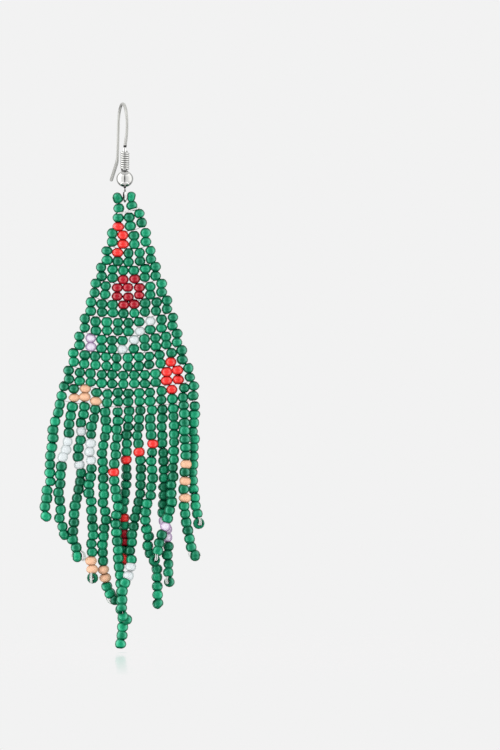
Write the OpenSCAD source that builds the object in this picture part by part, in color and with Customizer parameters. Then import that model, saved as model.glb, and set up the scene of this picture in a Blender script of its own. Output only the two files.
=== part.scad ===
// Drop earring: a bent ear wire with a coil, a ball and an eye carries a thread,
// and on the thread hangs a three-cornered band of beadwork with thirteen strings of beads.
// The origin is the point of the arch that sits in the ear. +Z is up and -Y is the front.

/* [Ear hook] */
// Thickness of the ear wire
wire_d = 0.55; // [0.45:0.05:0.6]
// Radius of the arch, at the middle of the wire
arch_r = 4.1; // [3.9:0.1:4.3]
// Distance from the stem back to the top of the arch
arch_reach = 2; // [1.8:0.1:2.2]
// How far the arch curls in under itself at the front, in degrees
front_turn = 35; // [33:1:37]
// Radius of the bend from the arch into the stem
front_bend_r = 1.6; // [1.4:0.1:1.8]
// Lean of the back leg away from upright, in degrees
back_splay = 7.5; // [5:0.5:10]
// Length of the straight part of the back leg
back_leg = 5.8; // [5:0.2:7]
// Radius of the bend into the tail
tail_bend_r = 3; // [2.5:0.1:3.5]
// Lean of the tail away from upright, in degrees
tail_splay = 51; // [45:1:55]
// Length of the straight tail
tail = 5.5; // [4:0.5:6]
// Turn of the whole hook about the vertical, in degrees
hook_yaw = 12; // [0:1:15]

/* [Coil, ball and eye] */
// Outer diameter of the coil round the stem
coil_d = 1.8; // [1.7:0.05:1.9]
// Thickness of the coil's wire
coil_wire_d = 0.38; // [0.34:0.02:0.38]
// Number of turns in the coil
coil_turns = 8.5; // [6.5:1:8.5]
// Rise of one turn
coil_pitch = 0.41; // [0.4:0.01:0.44]
// Diameter of the ball
ball_d = 3.3; // [3:0.1:3.5]
// Radius of the eye, at the middle of the wire
eye_r = 1; // [0.9:0.05:1.05]
// Turn of the eye about the vertical, in degrees
eye_yaw = 4; // [0:1:4]

/* [Beadwork] */
// Outer diameter of one bead, which is the thickness of the band and of the strings
bead_d = 1.85; // [1.8:0.01:1.86]
// Width of one column of the band
column_w = 2.07; // [2.05:0.01:2.09]
// Height of one pair of rows
pair_h = 3.35; // [3.3:0.01:3.4]
// How much deeper the middle sags with each pair of rows
sag_step = 0.12; // [0.1:0.01:0.14]
// Sideways offset of the band from the stem
band_x = 0.7; // [0.6:0.05:0.8]
// Diameter of the hanging thread
thread_d = 0.35; // [0.3:0.01:0.38]

/* [Hidden] */
FIRST_STRAND = 5;

$fn = 48;

// Joints in the wire stand out by a hair, so that its pieces are one solid
knuckle_d = wire_d + 0.02;

// The arch is drawn in the hook's own plane: [distance back from the stem, height]
arch_centre = [arch_reach, wire_d / 2 - arch_r];
back_top = arch_centre + arch_r * [cos(back_splay), sin(back_splay)];
back_foot = back_top + back_leg * [sin(back_splay), -cos(back_splay)];
tail_top = back_foot + tail_bend_r * [cos(back_splay) - cos(tail_splay), sin(back_splay) - sin(tail_splay)];
tail_end = tail_top + tail * [sin(tail_splay), -cos(tail_splay)];
front_foot = arch_centre - arch_r * [cos(front_turn), sin(front_turn)];
front_slope = (-front_foot[0] - front_bend_r * (1 - cos(front_turn))) / sin(front_turn);
front_end = front_foot + front_slope * [sin(front_turn), -cos(front_turn)];
stem_top = [0, front_end[1] - front_bend_r * sin(front_turn)];

// The coil starts at the top of the stem and its last turn rests on the ball
coil_r = (coil_d - coil_wire_d) / 2;
coil_tuck_r = wire_d / 2 + 0.46 * coil_wire_d;
coil_tuck_turns = 0.6;
coil_sides = 6;
coil_steps = 12;
coil_start_z = stem_top[1] - coil_wire_d / 2;
coil_end_z = coil_start_z - coil_turns * coil_pitch;
ball_z = coil_end_z - sqrt(pow((ball_d + coil_wire_d) / 2, 2) - pow(coil_r, 2));

// The wire leaves the ball, necks forward and closes round the eye
neck_r = 0.5;
neck_drop = sqrt(pow(neck_r + eye_r, 2) - pow(neck_r, 2));
neck_turn = acos(neck_r / (neck_r + eye_r));
neck_top = [0, ball_z - (ball_d + knuckle_d) / 2];
eye_centre = neck_top - [0, neck_drop];
eye_gap_end = 422;
eye_top = eye_centre + eye_r * [-cos(neck_turn), sin(neck_turn)];
eye_end = eye_centre + eye_r * [cos(eye_gap_end), sin(eye_gap_end)];

// The thread lies on the bottom of the eye, with a running clearance
thread_clearance = 0.03;
thread_z = eye_centre[1] - eye_r + (wire_d + thread_d) / 2 + thread_clearance;

// The stem, the thread and the band hang on this upright line, ahead of the ear
stem_x = arch_reach * sin(hook_yaw);
stem_y = -arch_reach * cos(hook_yaw);

// The band: twelve pairs of rows, each one column wider than the pair above
pair_count = 12;
bottom_pair = pair_count - 1;
band_z = -18.75;
slot_w = 0.77;
slot_drop = 1.45;
top_outer = slot_w / 2 + bead_d;
top_z = band_z + pair_h / 2;

function columns(pair) = pair + 2;
function half_span(pair) = (columns(pair) - 1) / 2;
function column_x(pair, column) = band_x + (column - half_span(pair)) * column_w;
function row_lift(pair, column) = sag_step * (pair + 1) * pow(column / half_span(pair) - 1, 2);
function pair_z(pair, column) = band_z - pair * pair_h + row_lift(pair, column);
function shoulder_z(pair) = pair_z(pair, 0) + pair_h / 2;
function side_x(pair, side) = pair == 0
    ? side * top_outer
    : band_x + side * (half_span(pair) + 0.5) * column_w;
function foot_z(pair) = pair == bottom_pair ? bottom_z(0) : shoulder_z(pair + 1);
function bottom_z(column) = pair_z(bottom_pair, column) - pair_h / 2;
function side_steps(side) = [for (pair = [0:bottom_pair], z = [pair == 0 ? top_z : shoulder_z(pair), foot_z(pair)])
    [side_x(pair, side), z]];
function bottom_steps() = [for (column = [bottom_pair + 1:-1:0], end = [0.5, -0.5])
    [column_x(bottom_pair, column) + end * column_w, bottom_z(column)]];
function reversed(list) = [for (i = [len(list) - 1:-1:0]) list[i]];

// Each string hangs on the bottom edge of the band, under its own column.
// Its route below that edge is [sideways from the stem, back, height], down to the last bead.
STRAND_TOP_X = [-12.1, -9.9, -7.7, -5.6, -3.5, -1.3, 0.8, 2.9, 5, 7.2, 9.2, 11.1, 13.1];
STRAND_ROUTES = [
    [[-13.2, 0, -60], [-13.8, 0.2, -64.5], [-14.2, 0.3, -69], [-14.6, 0.2, -73.5], [-15, 0, -79]],
    [[-10.7, 0, -61], [-11.2, -0.2, -65.5], [-12.1, -0.2, -70], [-12.5, 0, -75], [-12, 0.2, -79],
        [-11.7, 0.2, -82.5]],
    [[-8.2, 0.1, -61], [-8.6, 0.3, -66], [-8.4, 0.4, -70], [-9.2, 0.3, -75], [-9.7, 0.1, -80],
        [-9.6, 0, -83.5], [-9.1, 0, -86.7]],
    [[-6.3, -0.1, -62], [-6.4, -0.3, -67], [-6.7, -0.3, -73], [-6.3, -0.1, -79], [-6.3, 0.1, -85],
        [-6.2, 0.2, -90.8]],
    [[-3.8, 0, -62], [-4.3, 0, -67], [-3.9, 0.1, -73], [-3.9, 0.1, -79], [-4.2, 0.3, -85],
        [-3.8, 0.9, -90], [-2.9, 1.6, -93], [-2, 2, -95]],
    [[-1.5, -0.2, -62], [-2, -0.4, -68], [-1.5, -0.6, -75], [-1.6, -0.6, -80], [-1.2, -0.5, -86],
        [-1.5, 0, -91.5], [-0.9, 0.4, -95], [-0.5, 0.5, -99], [-0.8, 0.3, -103.3]],
    [[0.5, 0.1, -62], [0.2, 0.6, -68], [0, 1, -74], [-0.3, 1.2, -80], [-0.1, 1.2, -87.2]],
    [[2.6, 0, -62], [2.8, 0.1, -67], [3, 0.2, -72], [2.3, 0.3, -77], [1.5, -0.2, -82], [1.2, -0.9, -87],
        [0.4, -1.4, -90.5], [-0.4, -1.6, -93.5], [-0.3, -1.7, -97], [0.1, -1.7, -98.7]],
    [[4.9, 0, -61], [5.2, -0.1, -66], [5, -0.3, -73], [3.9, -0.6, -78.5], [4.7, 0.6, -84],
        [6.1, 1.1, -88.5], [6.3, 0.8, -92], [6.4, 0.6, -95.6]],
    [[7.1, 0.1, -61], [7.4, 0.4, -67], [7.5, 0.7, -73], [7.2, 0.9, -77.5], [8.3, 0.8, -82.5],
        [8.2, 0.3, -87], [8.3, 0.2, -91.4]],
    [[9.3, -0.1, -62], [9.4, -0.3, -67], [8.9, -0.7, -73], [8.6, -1, -76.5], [7, -1.1, -82],
        [5.5, -1.1, -87.4]],
    [[11.3, -0.4, -59.5], [11.5, -0.8, -65], [11.6, -0.8, -70], [11.2, -0.5, -75.5], [11.7, -0.3, -79.5],
        [12.5, -0.3, -83], [13.4, -0.4, -86.5]],
    [[13.2, 0.3, -59.5], [13, 0.7, -66], [12.9, 0.7, -71], [13.2, 0.4, -75], [14, 0.2, -80.3]]];
strand_sides = 8;

function strand_route(strand) = concat(
    [[STRAND_TOP_X[strand], 0, bottom_z(strand)]],
    STRAND_ROUTES[strand]);
function level_ring(centre) = [for (k = [0:strand_sides - 1])
    centre + bead_d / 2 * [cos(k * 360 / strand_sides), sin(k * 360 / strand_sides), 0]];
function coil_ring_r(turn) = turn < coil_tuck_turns
    ? coil_tuck_r + (coil_r - coil_tuck_r) * turn / coil_tuck_turns
    : coil_r;
function coil_ring(turn) = [for (k = [0:coil_sides - 1])
    let (reach = coil_ring_r(turn) + coil_wire_d / 2 * cos(k * 360 / coil_sides))
    [reach * cos(turn * 360), reach * sin(turn * 360),
        coil_start_z - turn * coil_pitch + coil_wire_d / 2 * sin(k * 360 / coil_sides)]];

// A closed skin over a stack of rings that have the same number of points
module skin(rings) {
    sides = len(rings[0]);
    last = (len(rings) - 1) * sides;
    walls = [for (r = [0:len(rings) - 2], k = [0:sides - 1])
        let (a = r * sides + k, b = r * sides + (k + 1) % sides)
        each [[a, b, b + sides], [a, b + sides, a + sides]]];
    polyhedron(
        points = [for (ring = rings) each ring],
        faces = concat([[for (k = [sides - 1:-1:0]) k]], walls, [[for (k = [0:sides - 1]) last + k]]));
}

// An arc of wire in the plane that stands along +X, from one angle to another
module wire_arc(centre, radius, from, to) {
    translate([centre[0], 0, centre[1]])
        rotate([90, 0, 0])
            rotate([0, 0, from])
                rotate_extrude(angle = to - from)
                    translate([radius, 0])
                        circle(d = wire_d);
}

// A straight piece of wire in the same plane
module wire_line(from, to) {
    run = to - from;
    translate([from[0], 0, from[1]])
        rotate([0, atan2(run[0], run[1]), 0])
            cylinder(h = norm(run), d = wire_d);
}

module on_stem() {
    translate([stem_x, stem_y, 0])
        children();
}

// A bead of wire that closes the joint between two pieces, or rounds off an end
module wire_knuckle(place) {
    translate([place[0], 0, place[1]])
        sphere(d = knuckle_d);
}

module arch() {
    wire_arc(arch_centre, arch_r, back_splay, 180 + front_turn);
    wire_line(back_top, back_foot);
    wire_arc(back_foot + tail_bend_r * [cos(back_splay), sin(back_splay)], tail_bend_r,
        180 + back_splay, 180 + tail_splay);
    wire_line(tail_top, tail_end);
    wire_line(front_foot, front_end);
    wire_arc([-front_bend_r, stem_top[1]], front_bend_r, 0, front_turn);
    wire_line(stem_top, neck_top);
    for (place = [back_top, back_foot, tail_top, tail_end, front_foot, front_end, stem_top])
        wire_knuckle(place);
}

module eye() {
    wire_arc([-neck_r, neck_top[1]], neck_r, -neck_turn, 0);
    wire_arc(eye_centre, eye_r, 180 - neck_turn, eye_gap_end);
    for (place = [neck_top, eye_top, eye_end])
        wire_knuckle(place);
}

module ear_hook() {
    color("silver")
        on_stem() {
            rotate([0, 0, 90 + hook_yaw])
                arch();
            rotate([0, 0, 90 + eye_yaw])
                eye();
        }
}

module hook_coil() {
    color("gainsboro")
        on_stem()
            skin([for (step = [0:coil_turns * coil_steps]) coil_ring(step / coil_steps)]);
}

module hook_ball() {
    color("silver")
        on_stem()
            translate([0, 0, ball_z])
                difference() {
                    sphere(d = ball_d);
                    cylinder(h = ball_d + 1, d = wire_d, center = true);
                }
}

module hanging_thread() {
    color("whitesmoke")
        on_stem()
            translate([-slot_w / 2, 0, thread_z])
                rotate([0, 90, 0])
                    cylinder(h = slot_w, d = thread_d);
}

module bead_panel() {
    slot_z = thread_z - slot_drop;
    color("mediumseagreen")
        on_stem()
            rotate([90, 0, 0])
                linear_extrude(height = bead_d, center = true)
                    polygon(concat(
                        [[slot_w / 2, slot_z], [slot_w / 2, top_z]],
                        side_steps(1),
                        bottom_steps(),
                        reversed(side_steps(-1)),
                        [[-slot_w / 2, top_z], [-slot_w / 2, slot_z]]));
}

module strand(index) {
    color("seagreen")
        on_stem()
            skin([for (centre = strand_route(index)) level_ring(centre)]);
}

ear_hook();
hook_coil();
hook_ball();
hanging_thread();
bead_panel();
for (i = [0:len(STRAND_ROUTES) - 1])
    strand(i);
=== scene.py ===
# %% [markdown]
# A drop earring of glass seed beads
# The piece is a bent ear wire with a coil, a ball and an eye. On a thread through the eye hangs a
# three-cornered band of beadwork, and from the band hang thirteen strings of beads.
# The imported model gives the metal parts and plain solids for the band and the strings. Here every solid
# of beadwork is replaced by its single beads, and each surface gets its finish.
# Lengths are written in millimetres and turned into Blender's metres where a mesh is made.

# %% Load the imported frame
from collections import namedtuple

import bpy
import numpy as np
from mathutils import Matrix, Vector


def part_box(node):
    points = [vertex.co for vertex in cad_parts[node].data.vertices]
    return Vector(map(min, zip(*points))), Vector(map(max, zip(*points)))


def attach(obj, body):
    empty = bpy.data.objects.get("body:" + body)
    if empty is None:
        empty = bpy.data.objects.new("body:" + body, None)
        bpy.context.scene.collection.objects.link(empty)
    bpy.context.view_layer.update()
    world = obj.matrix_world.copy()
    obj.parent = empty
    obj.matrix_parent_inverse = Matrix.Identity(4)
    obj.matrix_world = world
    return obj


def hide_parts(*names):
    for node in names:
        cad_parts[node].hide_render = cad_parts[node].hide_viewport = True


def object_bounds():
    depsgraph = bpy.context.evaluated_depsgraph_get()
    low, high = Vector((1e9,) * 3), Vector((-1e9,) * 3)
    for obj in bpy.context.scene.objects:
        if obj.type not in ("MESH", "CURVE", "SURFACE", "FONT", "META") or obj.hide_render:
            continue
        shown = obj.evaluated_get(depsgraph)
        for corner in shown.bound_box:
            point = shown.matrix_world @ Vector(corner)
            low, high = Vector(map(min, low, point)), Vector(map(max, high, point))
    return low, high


MM = 0.001
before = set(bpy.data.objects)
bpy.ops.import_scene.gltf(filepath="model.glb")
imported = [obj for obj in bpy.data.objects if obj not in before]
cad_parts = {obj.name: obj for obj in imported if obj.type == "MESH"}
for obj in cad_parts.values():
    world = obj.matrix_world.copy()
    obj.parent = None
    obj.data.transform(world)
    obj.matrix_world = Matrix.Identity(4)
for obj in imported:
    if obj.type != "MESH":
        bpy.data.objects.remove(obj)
cad_low, cad_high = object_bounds()
thread_low, thread_high = (np.array(corner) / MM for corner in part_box("hanging_thread"))
stem_x, stem_y, thread_z = (thread_low + thread_high) / 2
print("stem line at x %.3f, y %.3f mm; hanging thread at z %.3f mm" % (stem_x, stem_y, thread_z))

# %% [markdown]
# The camera
# The photograph is taken straight from the front, and its depth hardly shows, so the lens is very long
# and the camera stands far away. One pixel of the photograph is 0.19 mm on the earring, because beads of
# a known length sit a known number of pixels apart. The stem of the ear wire and the top of its arch are
# found in the picture, and that places the camera.

# %% Camera
PICTURE_W = 500
PICTURE_H = 750
MM_PER_PIXEL = 0.19
STEM_PIXEL_X = 124.8
SEAT_PIXEL_Y = 105.0
LENS = 600
SENSOR = 36

camera_data = bpy.data.cameras.new("camera")
camera_data.lens = LENS
camera_data.sensor_width = SENSOR
camera = bpy.data.objects.new("camera", camera_data)
bpy.context.scene.collection.objects.link(camera)
camera_x = stem_x + (PICTURE_W / 2 - STEM_PIXEL_X) * MM_PER_PIXEL
camera_z = -(PICTURE_H / 2 - SEAT_PIXEL_Y) * MM_PER_PIXEL
camera_gap = PICTURE_H * MM_PER_PIXEL * LENS / SENSOR
camera.location = np.array([camera_x, stem_y - camera_gap, camera_z]) * MM
camera.rotation_euler = (np.pi / 2, 0, 0)
bpy.context.scene.camera = camera
print("camera %.0f mm in front of the earring" % camera_gap)

# %% [markdown]
# Meshes from grids
# Every new piece is a grid of points: one direction runs round the piece and meets itself, the other
# runs along it. The faces of such a grid follow one rule, so one function makes them for all pieces.
# A shell whose signed volume is negative is inside out, and its faces are then turned round.

# %% Faces of a grid
def ring_faces(rows, columns, closed=False):
    """Quads between neighbouring rows of points. Columns always meet, rows only where closed."""
    row = np.arange(rows if closed else rows - 1)[:, None]
    column = np.arange(columns)[None, :]
    here = row * columns
    there = (row + 1) % rows * columns
    beside = (column + 1) % columns
    return np.stack([here + column, here + beside, there + beside, there + column], axis=-1).reshape(-1, 4)


def signed_volume(points, quads):
    """Sum over the quads of corner . (diagonal x diagonal) / 6, positive if the faces point outwards."""
    a, b, c, d = (points[quads[:, corner]] for corner in range(4))
    return float(np.einsum("ij,ij->i", a, np.cross(c - a, d - b)).sum() / 6)


# %% Mesh of a piece
def make_piece(name, points, quads, caps=()):
    """A smooth mesh object at the origin from points in millimetres, quads and a few end faces."""
    faces = [*quads.tolist(), *caps]
    if signed_volume(points - points.mean(axis=0), quads) < 0:
        faces = [face[::-1] for face in faces]
    mesh = bpy.data.meshes.new(name)
    mesh.from_pydata(points * MM, [], faces)
    mesh.polygons.foreach_set("use_smooth", np.ones(len(faces), bool))
    mesh.update()
    piece = bpy.data.objects.new(name, mesh)
    bpy.context.scene.collection.objects.link(piece)
    return piece


def unit(vectors):
    """Each vector over its own length."""
    return vectors / np.linalg.norm(vectors, axis=-1, keepdims=True)


# %% [markdown]
# Wires and threads
# A wire or thread is a circle carried along a route. The route is a smooth curve through a few points:
# between two points it is the cubic that has the right place and slope at both ends.

# %% Routes
ROUTE_STEPS = 240


def smooth_route(corners, steps=ROUTE_STEPS):
    """Cubic pieces (2t3-3t2+1) a + (t3-2t2+t) w m + (3t2-2t3) b + (t3-t2) w n through all corners."""
    corners = np.asarray(corners, float)
    widths = np.linalg.norm(np.diff(corners, axis=0), axis=1)
    knots = np.concatenate([[0], np.cumsum(widths)])
    slopes = np.gradient(corners, knots, axis=0)
    places = np.linspace(0, knots[-1], steps)
    piece = np.clip(np.searchsorted(knots, places, side="right") - 1, 0, len(widths) - 1)
    width = widths[piece, None]
    t = (places - knots[piece])[:, None] / width
    start = (2 * t**3 - 3 * t**2 + 1) * corners[piece] + (t**3 - 2 * t**2 + t) * width * slopes[piece]
    end = (3 * t**2 - 2 * t**3) * corners[piece + 1] + (t**3 - t**2) * width * slopes[piece + 1]
    return start + end


def route_lengths(route):
    """Distance along the route to each of its points."""
    return np.concatenate([[0], np.cumsum(np.linalg.norm(np.diff(route, axis=0), axis=1))])


def walk(route, distances):
    """Places and directions at the given distances along a route."""
    lengths = route_lengths(route)
    places = np.stack([np.interp(distances, lengths, route[:, axis]) for axis in range(3)], axis=1)
    slopes = np.gradient(route, lengths, axis=0)
    ways = np.stack([np.interp(distances, lengths, slopes[:, axis]) for axis in range(3)], axis=1)
    return places, unit(ways)


# %% Tubes
def tube_rings(route, width, sides, across):
    """Circles round a route: centre + width/2 (cos a s + sin a u), with s = way x across, u = s x way."""
    way = unit(np.gradient(route, axis=0))
    side = unit(np.cross(way, across))
    up = np.cross(side, way)
    angle = np.arange(sides) / sides * 2 * np.pi
    circle = np.cos(angle)[None, :, None] * side[:, None, :] + np.sin(angle)[None, :, None] * up[:, None, :]
    return route[:, None, :] + np.broadcast_to(width, len(route))[:, None, None] / 2 * circle


# A tube ends in half a ball of a few rings, the first at this angle from its pole, in radians
DOME_START = 0.2
DOME_STEPS = 5


def round_ends(route, width, steps):
    """Points along a route, close together near its ends, with widths that close there like half a ball."""
    length = route_lengths(route)[-1]
    turn = np.linspace(DOME_START, np.pi / 2, DOME_STEPS)
    dome = width / 2 * (1 - np.cos(turn))
    inner = np.linspace(width / 2, length - width / 2, steps)[1:-1]
    widths = np.concatenate([width * np.sin(turn), np.full(len(inner), width), width * np.sin(turn)[::-1]])
    return walk(route, np.concatenate([dome, inner, length - dome[::-1]]))[0], widths


def make_tubes(name, routes, width, sides, across, profile=None):
    """One piece of several tubes with round ends. A profile gives widths along them in place of the one."""
    points, quads, caps, first = [], [], [], 0
    for route in routes:
        places, widths = round_ends(np.asarray(route, float), width, len(route))
        if profile is not None:
            share = route_lengths(places) / route_lengths(places)[-1]
            widths = widths / width * np.interp(share, profile[:, 0], profile[:, 1])
        rings = tube_rings(places, widths, sides, across)
        rows = len(rings)
        points.append(rings.reshape(-1, 3))
        quads.append(ring_faces(rows, sides) + first)
        caps.append([first + column for column in range(sides - 1, -1, -1)])
        caps.append([first + (rows - 1) * sides + column for column in range(sides)])
        first += rows * sides
    return make_piece(name, np.concatenate(points), np.concatenate(quads), caps)


def from_stem(points):
    """Places given from the stem line, as sideways, back and height, put into the row frame."""
    return np.asarray(points, float) + [stem_x, stem_y, 0]


# %% [markdown]
# One seed bead
# A seed bead is cut from a drawn glass tube and tumbled in a hot drum, so its cut ends melt round. Its
# outline is a short profile of rings: out of the hole, over the lip and round the belly. The tumbling is
# never even, so some beads stay squarer, and the second profile gives those. Most beads lie somewhere
# between the two, and where the share of the second is below nothing, a bead is rounder than the first.
# Hundreds are needed, so one bead has only 96 faces.

# %% Bead shape
BEAD_SIDES = 12
# Each ring as its share of the bead's half width and of its half length
ROUND_RINGS = np.array([
    [0.36, -0.64], [0.48, -0.98], [0.78, -0.72], [0.99, -0.24],
    [0.99, 0.24], [0.78, 0.72], [0.48, 0.98], [0.36, 0.64]])
SQUARE_RINGS = np.array([
    [0.36, -0.68], [0.62, -1.00], [0.93, -0.74], [1.02, -0.28],
    [1.02, 0.28], [0.93, 0.74], [0.62, 1.00], [0.36, 0.68]])
BEAD_RINGS = len(ROUND_RINGS)
# How far a ring belongs to the belly, by its height as a share of the half length
BELLY_HEIGHTS = [0.3, 0.72, 1.0]
BELLY_SHARES = [1.0, 0.25, 0.0]
bead_turn = np.arange(BEAD_SIDES) / BEAD_SIDES * 2 * np.pi
# What each ring brings to the finish: whether it is in the hole, and how far it belongs to the belly
in_hole = (ROUND_RINGS[:, 0] <= ROUND_RINGS[0, 0]).astype(float)
on_belly = np.interp(np.abs(ROUND_RINGS[:, 1]), BELLY_HEIGHTS, BELLY_SHARES) * (1 - in_hole)
print("one bead has", BEAD_RINGS * BEAD_SIDES, "faces")

# %% [markdown]
# Many beads as one mesh
# All beads of one colour in one part of the earring are a single mesh. Each bead brings its place, the
# direction of its hole, its width and its length, and one array sum gives all points at once. Four
# attributes travel with the points for the finishes: how light this bead is, where the point lies on its
# own bead, whether it is inside the hole and how near it is to the belly.

# %% Sets of beads
Beads = namedtuple("Beads", "place axis width length square wedge tone finish")
SEED = 7
random = np.random.default_rng(SEED)


def pick(beads, chosen):
    """The beads where chosen is true."""
    return Beads(*(column[chosen] for column in beads))


def join(parts):
    """One set of beads from several."""
    return Beads(*(np.concatenate(columns) for columns in zip(*parts)))


# %% Points of the beads
def bead_points(beads):
    """place + (width reach (cos a s + sin a u) + length height (1 + reach tip) axis) / 2.

    Here tip is wedge . (cos a, sin a), and makes the bead longer on one side than on the other.
    """
    axis = unit(beads.axis)
    side = unit(np.cross(axis, np.eye(3)[np.abs(axis).argmin(axis=1)]))
    up = np.cross(axis, side)
    circle = np.cos(bead_turn)[:, None, None] * side + np.sin(bead_turn)[:, None, None] * up
    square = beads.square[:, None]
    reach = ROUND_RINGS[:, 0] * (1 - square) + SQUARE_RINGS[:, 0] * square
    height = ROUND_RINGS[:, 1] * (1 - square) + SQUARE_RINGS[:, 1] * square
    out = np.einsum("nr,snk->nrsk", beads.width[:, None] / 2 * reach, circle)
    tip = beads.wedge @ np.stack([np.cos(bead_turn), np.sin(bead_turn)])
    slant = 1 + reach[:, :, None] * tip[:, None, :]
    along = (beads.length[:, None] / 2 * height)[:, :, None] * slant
    return beads.place[:, None, None, :] + out + along[..., None] * axis[:, None, None, :]


def bead_local():
    """Each point of one bead in the bead's own measure: across, across and along the hole."""
    reach = ROUND_RINGS[:, :1]
    height = np.repeat(ROUND_RINGS[:, 1:], BEAD_SIDES, axis=1)
    return np.stack([reach * np.cos(bead_turn), reach * np.sin(bead_turn), height], axis=-1)


# %% Meshes of beads
# Each bead's own measure starts somewhere else, up to this far away, so no two have the same streaks
LOCAL_SPREAD = 40


def add_attribute(piece, name, kind, values):
    """A value for each point of the mesh, which a material can read by name."""
    attribute = piece.data.attributes.new(name, kind, "POINT")
    field = "vector" if kind == "FLOAT_VECTOR" else "value"
    attribute.data.foreach_set(field, np.ascontiguousarray(values, np.float32).ravel())


def make_beads(name, beads):
    """One mesh of all the given beads, with their attributes."""
    points = bead_points(beads)
    count = len(beads.place)
    size = BEAD_RINGS * BEAD_SIDES
    starts = np.arange(count)[:, None, None] * size
    quads = (ring_faces(BEAD_RINGS, BEAD_SIDES, closed=True)[None] + starts).reshape(-1, 4)
    piece = make_piece(name, points.reshape(-1, 3), quads)
    local = bead_local()[None] + random.uniform(-LOCAL_SPREAD, LOCAL_SPREAD, (count, 1, 1, 3))
    add_attribute(piece, "bead_tone", "FLOAT", np.repeat(beads.tone, size))
    add_attribute(piece, "bead_local", "FLOAT_VECTOR", local)
    add_attribute(piece, "bead_hole", "FLOAT", np.tile(np.repeat(in_hole, BEAD_SIDES), count))
    add_attribute(piece, "bead_belly", "FLOAT", np.tile(np.repeat(on_belly, BEAD_SIDES), count))
    return piece


# %% [markdown]
# The band
# The band is brick stitch, two beads high: each pair of rows hangs by its thread from the pair above,
# half a bead to the side and one bead wider. The rows sag in the middle, more from pair to pair, because
# the fringe pulls them down there. One line of the table gives a whole pair: its middle, the step from
# column to column, its height, how far its right end stands higher, and how far both ends rise.

# %% Pairs of rows
Pair = namedtuple("Pair", "middle step height tilt rise")
PAIRS = [Pair(*line) for line in (
    (0.02, 2.34, -18.50, 0.18, 0.00),
    (0.90, 2.11, -22.20, 0.39, 0.29),
    (0.77, 2.10, -25.62, 0.00, 0.45),
    (0.75, 2.07, -29.00, 0.04, 0.52),
    (0.71, 2.06, -32.30, 0.03, 0.70),
    (0.61, 2.12, -35.52, 0.03, 0.69),
    (0.78, 2.06, -38.76, 0.19, 0.63),
    (0.73, 2.07, -42.19, 0.17, 0.87),
    (0.70, 2.06, -45.54, 0.25, 1.04),
    (0.57, 2.06, -48.83, 0.23, 1.07),
    (0.73, 2.06, -52.16, 0.24, 1.07),
    (0.70, 2.07, -55.57, 0.09, 1.28))]
ROW_GAP = 1.66
FIRST_COLUMNS = 2


def pair_places(number):
    """Middles of one pair's columns: middle + k step, height + tilt u + rise u2, u from -1 to 1."""
    pair = PAIRS[number]
    half = (number + FIRST_COLUMNS - 1) / 2
    k = np.arange(number + FIRST_COLUMNS) - half
    u = k / half
    height = pair.height + pair.tilt * u + pair.rise * u**2
    return np.stack([pair.middle + k * pair.step, 0 * k, height], axis=1)


print("the band's last pair has", len(pair_places(len(PAIRS) - 1)), "columns")

# %% Uneven beads
# How far beads stray from the even work: their place in millimetres, and the rest as shares
PLACE_STRAY = 0.05
LEAN_STRAY = 0.07
WIDTH_STRAY = 0.03
LENGTH_STRAY = 0.03
WEDGE_STRAY = 0.07
# How light beads are, where 0 is the deep end of their colour and 1 its light end
TONE_RANGE = (0.15, 0.85)

# Width and length of a bead of each colour
BEAD_SIZES = {
    "green": (2.12, 1.80),
    "red": (2.28, 1.74),
    "crimson": (2.22, 1.70),
    "clear": (2.08, 1.74),
    "lilac": (2.08, 1.72),
    "peach": (2.30, 1.72)}
# The most that a bead of each colour is squared off, and below nothing it is more like a lens
BEAD_SQUARE = {"green": 0.3, "red": 0.3, "crimson": 0.3, "clear": 0.1, "lilac": 0.1, "peach": -0.3}


def finished_beads(place, axis, finish, stray=PLACE_STRAY):
    """Beads of the sizes that belong to their colours, each a little off in place, lean, size and shape."""
    count = len(place)
    width, length = np.array([BEAD_SIZES[colour] for colour in finish]).T
    square = np.array([BEAD_SQUARE[colour] for colour in finish])
    return Beads(
        from_stem(place) + random.normal(0, 1, (count, 3)) * [stray, PLACE_STRAY / 2, PLACE_STRAY],
        unit(axis) + random.normal(0, LEAN_STRAY, (count, 3)),
        width * random.normal(1, WIDTH_STRAY, count),
        length * random.normal(1, LENGTH_STRAY, count),
        random.uniform(0, 1, count) * square,
        random.normal(0, WEDGE_STRAY, (count, 2)),
        random.uniform(*TONE_RANGE, count),
        finish)


# %% [markdown]
# The flowers and spots of the band
# The colours follow a small chart, as a beader would write it: the row counted from the top, the
# first column counted from the left, and how many beads of that colour follow. The rest is green.

# %% Chart of the band
Patch = namedtuple("Patch", "finish row column count")
PATCHES = [Patch(*line) for line in (
    ("red", 4, 0, 1), ("red", 5, 1, 1), ("red", 6, 1, 1), ("red", 7, 1, 1),
    ("crimson", 10, 2, 2), ("crimson", 11, 2, 3), ("crimson", 12, 2, 3), ("crimson", 13, 3, 2),
    ("clear", 15, 6, 1), ("clear", 16, 5, 1), ("clear", 17, 5, 1), ("clear", 18, 4, 1),
    ("lilac", 17, 1, 1), ("lilac", 18, 1, 1),
    ("red", 20, 9, 1), ("red", 21, 9, 2), ("red", 22, 9, 2), ("red", 23, 10, 1),
    ("peach", 23, 2, 1), ("peach", 24, 1, 3))]
# The first two beads hang on the thread of the eye, so they lean, and one is a short and light one. Each
# has its own lean to the right from upright, shift in millimetres, share of the length, and lightness.
TOP_BEAD_LEAN = np.radians([62, -84])
TOP_BEAD_SHIFT = np.array([[-0.1, 0, 0.2], [0.02, 0, 0.05]])
TOP_BEAD_LENGTH = [1.0, 0.84]
TOP_BEAD_TONE = np.array([0.6, 0.95])
# The band's beads are picked a little rounder than their colour's usual shape, and longer
BAND_ROUNDER = 0.4
BAND_LONGER = 1.03
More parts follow.
